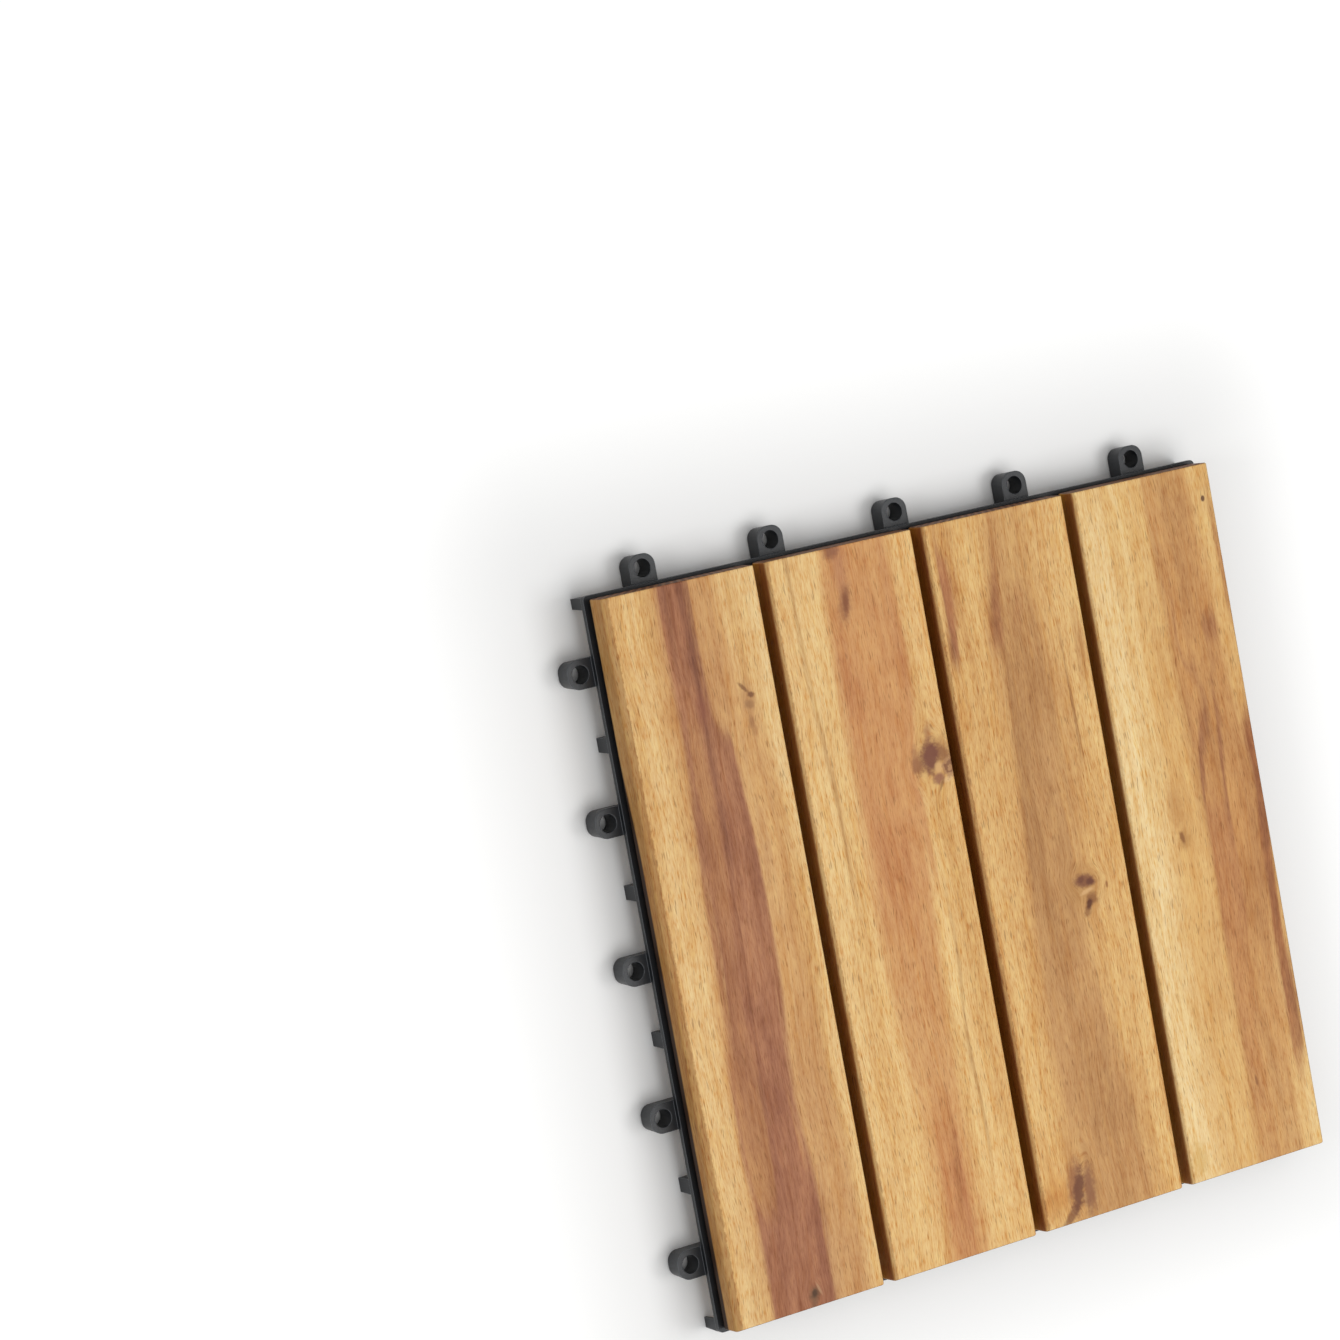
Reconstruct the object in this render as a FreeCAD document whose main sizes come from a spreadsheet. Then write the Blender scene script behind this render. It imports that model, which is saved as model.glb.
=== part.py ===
import math
import os

import FreeCAD, Part
import Sketcher

# Interlocking deck tile: four hardwood slats on a moulded plastic base that clicks to its neighbours.
# Frame: millimetres, +Z up, origin at the centre of the base, on the floor. The slats run along Y.
# The loops stand out on the -X and +Y sides, and the pegs hang under the rim on the +X and -Y sides.

SIZES = [
    ("tile_side", 300, "side of the square base, and the pitch at which tiles repeat"),
    ("loop_count", 5, "loops on a side, and pegs on the side opposite"),
    ("foot_height", 10, "free height under the ribs and the rim"),
    ("grid_depth", 3, "height of the ribs, up to the seat of the slats"),
    ("rib_wall", 2.4, "thickness of a rib"),
    ("rim_height", 2.2, "height of the rim, lower than the ribs, so a shadow gap stays under the slats"),
    ("rim_wall", 3, "thickness of the rim"),
    ("rim_corner", 2, "radius of the rim's corners"),
    ("draft", 2, "draft of the posts and feet, in degrees"),
    ("post_leg", 5, "length of each leg of an angled corner post"),
    ("post_wall", 1.8, "thickness of a corner post"),
    ("post_inset", 0.5, "step from the rim's face back to posts and feet"),
    ("foot_width", 6.5, "width of an edge foot along the rim"),
    ("foot_deep", 6.5, "depth of an edge foot, from the rim inwards"),
    ("foot_wall", 1.6, "thickness of an edge foot's three walls"),
    ("cross_width", 9, "width of a cross-shaped inner foot at its root"),
    ("loop_reach", 5.8, "from the rim's face to the centre of a loop or of the peg that fits it"),
    ("loop_bore", 7.5, "diameter of a loop's hole"),
    ("loop_width", 12, "width of a loop at its top"),
    ("loop_end", 2, "wall at the end of a loop"),
    ("loop_corner", 5, "radius of a loop's outer corners"),
    ("loop_draft", 4, "draft of a loop's outside, in degrees"),
    ("loop_gap", 0.2, "gap between a loop's top and the neighbour's rim"),
    ("loop_lift", 0.6, "gap between a loop's foot and the floor"),
    ("loop_root", 7, "length of a loop's root under its own rim"),
    ("peg_dia", 5.4, "diameter of a peg at its root"),
    ("peg_tip", 4.2, "diameter of a peg at its tip"),
    ("peg_lead", 5, "length of a peg's tapered lead-in"),
    ("peg_round", 0.6, "bevel round a peg's tip"),
    ("peg_lift", 0.8, "gap between a peg's tip and the floor"),
    ("peg_pad", 11, "side of the square pad that carries a peg"),
    ("slat_count", 4, "number of slats"),
    ("slat_inset", 1.5, "step from the rim's face back to the slats"),
    ("slat_gap", 4.5, "drainage gap between slats"),
    ("slat_thick", 11, "thickness of a slat"),
    ("slat_top_round", 1.5, "radius of a slat's long upper edges"),
    ("slat_low_round", 2.4, "radius of a slat's long lower edges"),
    ("slat_end_round", 0.8, "radius round a slat's two ends"),
    ("screw_spread", 45, "distance between the two screws across a slat"),
    ("screw_cells", 3, "cells of the grid from the middle of a slat to a row of screws"),
    ("screw_shank", 3.5, "diameter of a screw's shank"),
    ("screw_length", 11, "length of a screw under its head"),
    ("screw_point", 3, "length of a screw's point"),
    ("head_dia", 7, "diameter of a screw's head"),
    ("head_flat", 4.2, "diameter of the flat top of a screw's head"),
    ("head_height", 2.2, "height of a screw's head"),
    ("head_edge", 0.9, "height of the straight edge of a screw's head"),
    ("hole_play", 0.5, "play of a screw in the base"),
    ("pilot_play", 0.1, "play of a screw in its pilot hole"),
    ("pilot_spare", 0.5, "depth of a pilot hole past the screw's point"),
    ("pad_dia", 11, "diameter of the pad round a screw"),
]

doc = FreeCAD.newDocument("deck_tile")
sheet = doc.addObject("Spreadsheet::Sheet", "Sizes")
for row, (alias, number, note) in enumerate(SIZES, start=1):
    sheet.set(f"A{row}", note)
    sheet.set(f"B{row}", str(number))
    sheet.setAlias(f"B{row}", alias)
doc.recompute()

# Lengths that several features share, as expressions of the sheet's cells
HALF = "Sizes.tile_side / 2"
LOOP_PITCH = "Sizes.tile_side / Sizes.loop_count"
CELL_PITCH = "Sizes.tile_side / Sizes.loop_count / 2"
FIRST_LOOP = "(1 - Sizes.loop_count) / 2 * Sizes.tile_side / Sizes.loop_count"
FIRST_FOOT = "(2 - Sizes.loop_count) / 2 * Sizes.tile_side / Sizes.loop_count"
SEAT = "Sizes.foot_height + Sizes.grid_depth"
SLAT_LENGTH = "(Sizes.tile_side - 2 * Sizes.slat_inset)"
SLAT_PITCH = f"(({SLAT_LENGTH} + Sizes.slat_gap) / Sizes.slat_count)"
SLAT_WIDTH = f"({SLAT_PITCH} - Sizes.slat_gap)"
FIRST_SLAT = f"(1 - Sizes.slat_count) / 2 * {SLAT_PITCH}"
SCREW_ROW = f"Sizes.screw_cells * {CELL_PITCH}"
FIRST_SCREW = f"{FIRST_SLAT} - Sizes.screw_spread / 2"
PAIR = "2"  # screws stand in twos across a slat, in two rows


def new_body(name):
    """An empty body named as its node."""
    body = doc.addObject("PartDesign::Body", name)
    body.Label = name
    return body


def origin_item(body, role):
    """A plane or an axis of a body's own origin."""
    return next(item for item in body.Origin.OriginFeatures if item.Role == role)


def new_sketch(body, name, plane="XY_Plane", height="0"):
    """A sketch on one of the body's own planes, raised along that plane's normal by an expression."""
    sketch = body.newObject("Sketcher::SketchObject", name)
    sketch.AttachmentSupport = (origin_item(body, plane), [""])
    sketch.MapMode = "FlatFace"
    sketch.setExpression("AttachmentOffset.Base.z", height)
    return sketch


def bind(sketch, expression, *constraint):
    """A dimension of a sketch, tied to an expression. Its first value only starts the solver."""
    index = sketch.addConstraint(Sketcher.Constraint(*constraint))
    sketch.setExpression(f"Constraints[{index}]", expression)


def outline(sketch, corners):
    """A closed outline of straight lines through corners, each a pair of expressions."""
    count = len(corners)
    turn = 360.0 / count
    spin = FreeCAD.Rotation(FreeCAD.Vector(0, 0, 1), turn)
    starts = [FreeCAD.Vector(20, 0, 0)]
    for _ in corners:
        starts.append(spin.multVec(starts[-1]))
    lines = [sketch.addGeometry(Part.LineSegment(a, b)) for a, b in zip(starts[:-1], starts[1:])]
    for index, line in enumerate(lines):
        following = lines[(index + 1) % count]
        sketch.addConstraint(Sketcher.Constraint("Coincident", line, 2, following, 1))
        at = starts[index]
        across, along = corners[index]
        bind(sketch, across, "DistanceX", -1, 1, line, 1, at.x)
        bind(sketch, along, "DistanceY", -1, 1, line, 1, at.y)


def box_outline(sketch, low_x, low_y, high_x, high_y):
    """A rectangle between two corners given as expressions."""
    outline(sketch, [(low_x, low_y), (high_x, low_y), (high_x, high_y), (low_x, high_y)])


def round_outline(sketch, low_x, low_y, high_x, high_y, radii):
    """A rectangle with rounded corners. radii are expressions, from the low corner on, None where square."""
    start = 20.0
    start_radius = 2.0
    signs = [(-1, -1), (1, -1), (1, 1), (-1, 1)]
    places = [(low_x, low_y), (high_x, low_y), (high_x, high_y), (low_x, high_y)]
    quarter = math.pi / 2
    ends = []
    for step, ((sx, sy), (x, y), radius) in enumerate(zip(signs, places, radii)):
        if radius is None:
            ends.append(None)
            continue
        centre = FreeCAD.Vector(sx * (start - start_radius), sy * (start - start_radius), 0)
        circle = Part.Circle(centre, FreeCAD.Vector(0, 0, 1), start_radius)
        first = (step + 2) * quarter
        arc = sketch.addGeometry(Part.ArcOfCircle(circle, first, first + quarter))
        bind(sketch, radius, "Radius", arc, start_radius)
        bind(sketch, f"{x} - {sx} * {radius}", "DistanceX", -1, 1, arc, 3, centre.x)
        bind(sketch, f"{y} - {sy} * {radius}", "DistanceY", -1, 1, arc, 3, centre.y)
        # an arc leaves a vertical side at the height of its centre, and meets a level side over its centre
        level, upright = ("Horizontal", "Vertical") if step % 2 == 0 else ("Vertical", "Horizontal")
        sketch.addConstraint(Sketcher.Constraint(level, arc, 1, arc, 3))
        sketch.addConstraint(Sketcher.Constraint(upright, arc, 2, arc, 3))
        ends.append(arc)
    for step in range(4):
        after = (step + 1) % 4
        a = FreeCAD.Vector(start * signs[step][0], start * signs[step][1], 0)
        b = FreeCAD.Vector(start * signs[after][0], start * signs[after][1], 0)
        line = sketch.addGeometry(Part.LineSegment(a, b))
        for place, here, join in ((step, 1, 2), (after, 2, 1)):
            if ends[place] is not None:
                sketch.addConstraint(Sketcher.Constraint("Coincident", line, here, ends[place], join))
            else:
                corner = a if here == 1 else b
                bind(sketch, places[place][0], "DistanceX", -1, 1, line, here, corner.x)
                bind(sketch, places[place][1], "DistanceY", -1, 1, line, here, corner.y)


def ring(sketch, x, y, diameter):
    """A circle round a point given as expressions."""
    start = FreeCAD.Vector(20, 20, 0)
    circle = sketch.addGeometry(Part.Circle(start, FreeCAD.Vector(0, 0, 1), 2))
    bind(sketch, diameter, "Diameter", circle, 4)
    bind(sketch, x, "DistanceX", -1, 1, circle, 3, start.x)
    bind(sketch, y, "DistanceY", -1, 1, circle, 3, start.y)


def extrude(body, kind, sketch, length, down=False, draft=None):
    """A pad or a pocket of a sketch, up or down by an expression. A draft narrows it away from the sketch."""
    feature = body.newObject(f"PartDesign::{kind}", f"{sketch.Name}_{kind.lower()}")
    feature.Profile = sketch
    feature.setExpression("Length", length)
    # a pocket cuts against its sketch's normal unless it is reversed
    feature.Reversed = down if kind == "Pad" else not down
    if draft:
        feature.setExpression("TaperAngle", f"-{draft}")
    return feature


def turned(body, sketch, edge):
    """A solid turned from a half profile, about the edge of it that lies on the axis."""
    feature = body.newObject("PartDesign::Revolution", f"{sketch.Name}_turned")
    feature.Profile = sketch
    feature.ReferenceAxis = (sketch, [f"Edge{edge}"])
    feature.Angle = 360
    return feature


def row_of(body, name, axis, count, spacing):
    """The copies along one axis, from the first place on."""
    pattern = body.newObject("PartDesign::LinearPattern", name)
    pattern.Direction = (origin_item(body, axis), [""])
    pattern.Mode = "Spacing"
    pattern.setExpression("Occurrences", count)
    pattern.setExpression("Offset", spacing)
    return pattern


def pattern_of(body, name, originals, steps):
    """The copies of some features under several patterns, each of which repeats all the copies before it."""
    pattern = body.newObject("PartDesign::MultiTransform", name)
    pattern.Originals = originals
    pattern.Transformations = steps
    body.Tip = pattern


def grid_of(body, name, originals, count, spacing):
    """The copies of some features on a square grid along X and Y."""
    pattern = body.newObject("PartDesign::LinearPattern", name)
    pattern.Originals = originals
    pattern.Direction = (origin_item(body, "X_Axis"), [""])
    pattern.Direction2 = (origin_item(body, "Y_Axis"), [""])
    pattern.Mode = pattern.Mode2 = "Extent"
    for number, length in (("Occurrences", "Length"), ("Occurrences2", "Length2")):
        pattern.setExpression(number, count)
        pattern.setExpression(length, f"({count} - 1) * {spacing}")
    body.Tip = pattern


def sides_of(body, name, originals, sides, count=None, spacing=None):
    """The copies along one side of the tile, then turned clockwise on to the other sides."""
    steps = []
    if count:
        steps.append(row_of(body, f"{name}_row", "Y_Axis", count, spacing))
    quarter_turns = body.newObject("PartDesign::PolarPattern", f"{name}_turns")
    quarter_turns.Axis = (origin_item(body, "Z_Axis"), [""])
    quarter_turns.Mode = "Spacing"
    quarter_turns.Offset = 90
    quarter_turns.Occurrences = sides
    quarter_turns.Reversed = True
    steps.append(quarter_turns)
    pattern_of(body, name, originals, steps)


def ribs_and_rim():
    """The top of the base: crossing ribs inside a lower rim, with a round pad at each screw."""
    body = new_body("ribs_and_rim")
    under = "Sizes.foot_height"
    inside = f"{HALF} - Sizes.rim_wall"

    # the ribs are a plate with square cells cut through it
    plate = new_sketch(body, "plate", height=under)
    box_outline(plate, f"-({inside})", f"-({inside})", inside, inside)
    extrude(body, "Pad", plate, "Sizes.grid_depth")
    cell = new_sketch(body, "cell", height=under)
    cell_low = f"-{HALF} + Sizes.rib_wall / 2"
    cell_high = f"-{HALF} + {CELL_PITCH} - Sizes.rib_wall / 2"
    box_outline(cell, cell_low, cell_low, cell_high, cell_high)
    cell_cut = extrude(body, "Pocket", cell, "Sizes.grid_depth")
    grid_of(body, "cells", [cell_cut], "2 * Sizes.loop_count", CELL_PITCH)

    rim = new_sketch(body, "rim", height=under)
    round_outline(rim, f"-{HALF}", f"-{HALF}", HALF, HALF, ["Sizes.rim_corner"] * 4)
    box_outline(rim, f"-({inside})", f"-({inside})", inside, inside)
    extrude(body, "Pad", rim, "Sizes.rim_height")

    pad = new_sketch(body, "screw_pad", height=under)
    ring(pad, FIRST_SCREW, f"-{SCREW_ROW}", "Sizes.pad_dia")
    round_pad = extrude(body, "Pad", pad, "Sizes.grid_depth")
    hole = new_sketch(body, "screw_hole", height=under)
    ring(hole, FIRST_SCREW, f"-{SCREW_ROW}", "Sizes.screw_shank + Sizes.hole_play")
    hole_cut = extrude(body, "Pocket", hole, "Sizes.grid_depth")
    screw_grid(body, [round_pad, hole_cut])
    return body


def feet():
    """What the base stands on: angled corner posts, channels along the rim and crosses inside."""
    body = new_body("feet")
    body.AllowCompound = True
    under = "Sizes.foot_height"
    face = f"-{HALF} + Sizes.post_inset"

    # an angled post under each corner of the rim, from the corner at -X -Y
    back = f"{face} + Sizes.post_wall"
    leg = f"{face} + Sizes.post_leg"
    post = new_sketch(body, "post", height=under)
    outline(post, [(face, face), (leg, face), (leg, back), (back, back), (back, leg), (face, leg)])
    post_pad = extrude(body, "Pad", post, "Sizes.foot_height", down=True, draft="Sizes.draft")
    sides_of(body, "posts", [post_pad], 4)

    # an edge foot is a channel, open inwards, under a small plate, halfway between two loops
    side = "Sizes.foot_width / 2"
    wall = f"({side} - Sizes.foot_wall)"
    deep = f"{face} + Sizes.foot_deep"
    front = f"{face} + Sizes.foot_wall"
    low, high = f"{FIRST_FOOT} - {side}", f"{FIRST_FOOT} + {side}"
    low_wall, high_wall = f"{FIRST_FOOT} - {wall}", f"{FIRST_FOOT} + {wall}"
    plate = new_sketch(body, "foot_plate", height=under)
    box_outline(plate, face, low, deep, high)
    plate_pad = extrude(body, "Pad", plate, "Sizes.rim_height")
    channel = new_sketch(body, "channel", height=under)
    outer_corners = [(deep, high), (face, high), (face, low), (deep, low)]
    inner_corners = [(deep, low_wall), (front, low_wall), (front, high_wall), (deep, high_wall)]
    outline(channel, outer_corners + inner_corners)
    channel_pad = extrude(body, "Pad", channel, "Sizes.foot_height", down=True, draft="Sizes.draft")
    sides_of(body, "edge_feet", [plate_pad, channel_pad], 4, "Sizes.loop_count - 1", LOOP_PITCH)

    # an inner foot carries two ribs down to the floor, at every second crossing
    arm_low, arm_high = (f"{FIRST_LOOP} {sign} Sizes.cross_width / 2" for sign in "-+")
    rib_low, rib_high = (f"{FIRST_LOOP} {sign} Sizes.rib_wall / 2" for sign in "-+")
    corners = [
        (arm_low, rib_low),
        (rib_low, rib_low),
        (rib_low, arm_low),
        (rib_high, arm_low),
        (rib_high, rib_low),
        (arm_high, rib_low),
        (arm_high, rib_high),
        (rib_high, rib_high),
        (rib_high, arm_high),
        (rib_low, arm_high),
        (rib_low, rib_high),
        (arm_low, rib_high),
    ]
    cross = new_sketch(body, "cross", height=under)
    outline(cross, corners)
    cross_pad = extrude(body, "Pad", cross, "Sizes.foot_height", down=True, draft="Sizes.draft")
    grid_of(body, "inner_feet", [cross_pad], "Sizes.loop_count", LOOP_PITCH)
    return body


def loops():
    """The loops on the -X and +Y sides. Each clears the neighbour's rim above it and the floor below."""
    body = new_body("loops")
    body.AllowCompound = True
    outer = f"-{HALF}"
    under = "Sizes.foot_height"
    end = f"-{HALF} - Sizes.loop_reach - Sizes.loop_bore / 2 - Sizes.loop_end"
    half_loop = "Sizes.loop_width / 2"
    low, high = f"{FIRST_LOOP} - {half_loop}", f"{FIRST_LOOP} + {half_loop}"
    root = new_sketch(body, "root", height=under)
    box_outline(root, outer, low, f"{outer} + Sizes.loop_root", high)
    root_length = "Sizes.foot_height - Sizes.loop_lift"
    root_pad = extrude(body, "Pad", root, root_length, down=True, draft="Sizes.loop_draft")
    ear = new_sketch(body, "ear", height=f"{under} - Sizes.loop_gap")
    corner = "Sizes.loop_corner"
    round_outline(ear, end, low, f"{outer} + Sizes.rim_wall", high, [corner, None, None, corner])
    ear_length = f"{root_length} - Sizes.loop_gap"
    ear_pad = extrude(body, "Pad", ear, ear_length, down=True, draft="Sizes.loop_draft")
    eye = new_sketch(body, "eye")
    ring(eye, f"{outer} - Sizes.loop_reach", FIRST_LOOP, "Sizes.loop_bore")
    eye_cut = extrude(body, "Pocket", eye, "Sizes.foot_height")
    sides_of(body, "all_loops", [root_pad, ear_pad, eye_cut], 2, "Sizes.loop_count", LOOP_PITCH)
    return body


def pegs():
    """The pegs on the +X and -Y sides, each under a square pad where the neighbour's loop comes in."""
    body = new_body("pegs")
    body.AllowCompound = True
    under = "Sizes.foot_height"
    half_pad = "Sizes.peg_pad / 2"
    low, high = f"{FIRST_LOOP} - {half_pad}", f"{FIRST_LOOP} + {half_pad}"
    pad = new_sketch(body, "peg_plate", height=under)
    box_outline(pad, f"{HALF} - Sizes.peg_pad", low, f"{HALF} - Sizes.post_inset", high)
    plate_pad = extrude(body, "Pad", pad, "Sizes.rim_height")
    peg = new_sketch(body, "peg", plane="XZ_Plane", height=f"-({FIRST_LOOP})")
    axis = f"({HALF} - Sizes.loop_reach)"
    shoulder = "Sizes.peg_lift + Sizes.peg_lead"
    top = f"{under} + Sizes.rim_height / 2"
    outline(
        peg,
        [
            (axis, "Sizes.peg_lift"),
            (f"{axis} + Sizes.peg_tip / 2 - Sizes.peg_round", "Sizes.peg_lift"),
            (f"{axis} + Sizes.peg_tip / 2", "Sizes.peg_lift + Sizes.peg_round"),
            (f"{axis} + Sizes.peg_dia / 2", shoulder),
            (f"{axis} + Sizes.peg_dia / 2", top),
            (axis, top),
        ],
    )
    peg_turned = turned(body, peg, 6)
    sides_of(body, "all_pegs", [plate_pad, peg_turned], 2, "Sizes.loop_count", LOOP_PITCH)
    return body


def base_grid():
    """The moulded base, one solid."""
    base = doc.addObject("Part::MultiFuse", "base_grid")
    base.Label = "base_grid"
    base.Shapes = [ribs_and_rim(), feet(), loops(), pegs()]
    base.Refine = True
    return base


def screw_grid(body, originals):
    """The copies at all the screws: a pair across each slat, and a row near each end."""
    across = row_of(body, "across", "X_Axis", PAIR, "Sizes.screw_spread")
    slats = row_of(body, "each_slat", "X_Axis", "Sizes.slat_count", SLAT_PITCH)
    rows = row_of(body, "rows", "Y_Axis", PAIR, f"2 * {SCREW_ROW}")
    pattern_of(body, "screws", originals, [across, slats, rows])


def slat(number):
    """One slat: a rounded section along Y, softened round both ends, with pilot holes from below."""
    body = new_body(f"slat_{number}")
    half_width = f"{SLAT_WIDTH} / 2"
    section = new_sketch(body, f"section_{number}", plane="XZ_Plane")
    low_round, top_round = "Sizes.slat_low_round", "Sizes.slat_top_round"
    radii = [low_round, low_round, top_round, top_round]
    round_outline(section, f"-{half_width}", "0", half_width, "Sizes.slat_thick", radii)
    board = extrude(body, "Pad", section, SLAT_LENGTH)
    board.Midplane = True
    doc.recompute()
    far = board.Shape.BoundBox.YMax
    ends = [
        f"Edge{index}"
        for index, edge in enumerate(board.Shape.Edges, start=1)
        if min(abs(abs(vertex.Y) - far) for vertex in edge.Vertexes) < 0.001
        and edge.BoundBox.YLength < 0.001
    ]
    softened = body.newObject("PartDesign::Fillet", f"softened_{number}")
    softened.Base = (board, ends)
    softened.setExpression("Radius", "Sizes.slat_end_round")
    body.Tip = softened
    pilot = new_sketch(body, f"pilot_{number}")
    ring(pilot, "-Sizes.screw_spread / 2", f"-{SCREW_ROW}", "Sizes.screw_shank + Sizes.pilot_play")
    depth = "Sizes.screw_length - Sizes.grid_depth + Sizes.pilot_spare"
    pilot_cut = extrude(body, "Pocket", pilot, depth)
    across = row_of(body, f"across_{number}", "X_Axis", PAIR, "Sizes.screw_spread")
    rows = row_of(body, f"rows_{number}", "Y_Axis", PAIR, f"2 * {SCREW_ROW}")
    pattern_of(body, f"pilots_{number}", [pilot_cut], [across, rows])
    body.setExpression("Placement.Base.x", f"{FIRST_SLAT} + {number - 1} * {SLAT_PITCH}")
    body.setExpression("Placement.Base.z", SEAT)
    return body


def slat_screws():
    """The pan-head screws, each turned from its half profile, head down under its pad."""
    body = new_body("slat_screws")
    body.AllowCompound = True
    profile = new_sketch(body, "profile", plane="XZ_Plane", height=SCREW_ROW)
    axis = f"({FIRST_SCREW})"
    under = "Sizes.foot_height"
    head = "Sizes.head_dia / 2"
    shank = "Sizes.screw_shank / 2"
    tip = f"{under} + Sizes.screw_length"
    outline(
        profile,
        [
            (axis, f"{under} - Sizes.head_height"),
            (f"{axis} + Sizes.head_flat / 2", f"{under} - Sizes.head_height"),
            (f"{axis} + {head}", f"{under} - Sizes.head_edge"),
            (f"{axis} + {head}", under),
            (f"{axis} + {shank}", under),
            (f"{axis} + {shank}", f"{tip} - Sizes.screw_point"),
            (axis, tip),
        ],
    )
    screw_grid(body, [turned(body, profile, 7)])
    return body


nodes = [slat(number) for number in range(1, int(sheet.get("slat_count")) + 1)]
nodes += [slat_screws(), base_grid()]
doc.recompute()

for item in doc.Objects:
    if "Invalid" in item.State or "Error" in item.State:
        raise RuntimeError(f"{item.Label} failed: {item.State}")
os.makedirs("parts", exist_ok=True)
for node in nodes:
    if node.Shape.isNull() or not node.Shape.isValid():
        raise RuntimeError(f"{node.Label} has no valid shape")
    node.Shape.exportStep(f"parts/{node.Label}.step")
    print(node.Label, len(node.Shape.Solids), "solids", round(node.Shape.Volume), "mm3")
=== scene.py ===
import math

import bpy
from mathutils import Matrix, Vector


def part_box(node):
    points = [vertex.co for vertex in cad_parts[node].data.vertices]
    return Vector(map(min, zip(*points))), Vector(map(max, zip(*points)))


# Interlocking deck tile: four oiled acacia slats on a black moulded base, laid flat on its feet.
# Metres, +Z up, slats along Y. Wood patterns are worked out in millimetres, from the middle of a slat's top.

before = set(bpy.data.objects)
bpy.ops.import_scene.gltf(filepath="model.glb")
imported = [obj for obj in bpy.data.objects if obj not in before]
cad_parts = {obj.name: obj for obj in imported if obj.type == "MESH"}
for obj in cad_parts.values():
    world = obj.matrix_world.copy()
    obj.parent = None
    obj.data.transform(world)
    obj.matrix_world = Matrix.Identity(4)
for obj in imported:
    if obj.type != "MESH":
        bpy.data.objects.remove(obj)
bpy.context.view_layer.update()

MM = 1000.0  # millimetres in a metre

# Wood, in millimetres
STATION_REACH = 150.0  # a band's stations lie from -150 to 150 along the slat
EDGE_REACH = 50.0  # and its edges from -50 to 50 across it
WANDER = 11.0  # the whole range in which the grain wanders sideways
FRAY = 11.0  # the whole range in which the edge of a band frays
KNOT_DEPTH = 40.0  # half depth of a knot, which goes right through the slat
END_RING = 3.0  # width of a growth ring on the end grain

# In metres: a side that faces X farther out than this is an outer side of the tile, not one in a gap
INSIDE_OUTER_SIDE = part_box("slat_4")[1][0] - 0.002
SIDE_FADE = 0.001  # width over which the one passes into the other

# Studio: places and reaches in metres, then the lens. Lift and sky are levels of light.
FLOOR_REACH = 4.0
FLOOR_LIFT = 0.24  # light that the floor adds where it is seen away from the tile
SHADOW_REACH = 0.155  # the lift starts at this distance from the tile's middle along X or Y
LIFT_FADE = 0.1  # and is full this much farther out
SKY_LEVEL = 0.44
SENSOR_MM, LENS_MM = 36, 116.81
CAMERA_PLACE = Vector((-0.93548, 0.27372, 1.52476))
CAMERA_LOOK = Vector((0.47371, -0.09254, -0.87580))
CAMERA_UP = Vector((0.20309, 0.97914, 0.00639))


def linear(code):
    """A linear colour with alpha from an sRGB hex value."""
    parts = [int(code[at : at + 2], 16) / 255 for at in (1, 3, 5)]
    return (*[c / 12.92 if c <= 0.04045 else ((c + 0.055) / 1.055) ** 2.4 for c in parts], 1.0)


def add(tree, kind, links=None, **settings):
    """One node with its settings. links maps a socket to a value or to the output that feeds it."""
    node = tree.nodes.new(kind)
    for name, value in settings.items():
        setattr(node, name, value)
    for socket, value in (links or {}).items():
        if isinstance(value, bpy.types.NodeSocket):
            tree.links.new(value, node.inputs[socket])
        else:
            node.inputs[socket].default_value = value
    return node


def new_material(name):
    """An empty material with its surface shader, ready for a pattern."""
    material = bpy.data.materials.new(name)
    material.use_nodes = True
    tree = material.node_tree
    tree.nodes.clear()
    shader = add(tree, "ShaderNodeBsdfPrincipled")
    add(tree, "ShaderNodeOutputMaterial", {"Surface": shader.outputs[0]})
    return material, tree, shader


def stops(ramp, entries, interpolation="LINEAR"):
    """Sets the stops of a colour ramp from (place, colour) pairs."""
    ramp.color_ramp.interpolation = interpolation
    elements = ramp.color_ramp.elements
    while len(elements) < len(entries):
        elements.new(1.0)
    for element, (place, colour) in zip(elements, entries):
        element.position = place
        element.color = colour


def knot_place(tree, local, rough, middle, half_size, lean):
    """A knot's own coordinates, the distance in them, and that distance made uneven.

    The coordinates are turned by the lean and scaled, so that the knot's edge is at a distance of 1.
    """
    place = add(
        tree,
        "ShaderNodeMapping",
        {
            "Vector": local,
            "Location": (*middle, 0),
            "Rotation": (0, 0, math.radians(lean)),
            "Scale": (*half_size, KNOT_DEPTH),
        },
        vector_type="TEXTURE",
    ).outputs[0]
    distance = add(tree, "ShaderNodeVectorMath", {0: place}, operation="LENGTH").outputs["Value"]
    uneven = add(tree, "ShaderNodeMath", {0: distance, 1: rough}, operation="ADD").outputs[0]
    return place, distance, uneven


def ring_tone(tree, distance, rings, tones):
    """Growth rings as a colour: a sine of the distance, with so many rings to a unit, through a ramp."""
    wave = add(tree, "ShaderNodeMath", {0: distance, 1: math.tau * rings}, operation="MULTIPLY").outputs[0]
    wave = add(tree, "ShaderNodeMath", {0: wave}, operation="SINE").outputs[0]
    wave = add(tree, "ShaderNodeMapRange", {"Value": wave, "From Min": -1.0}).outputs[0]
    tone = add(tree, "ShaderNodeValToRGB", {"Fac": wave})
    stops(tone, [(place, linear(code)) for place, code in tones])
    return tone.outputs[0]


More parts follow.
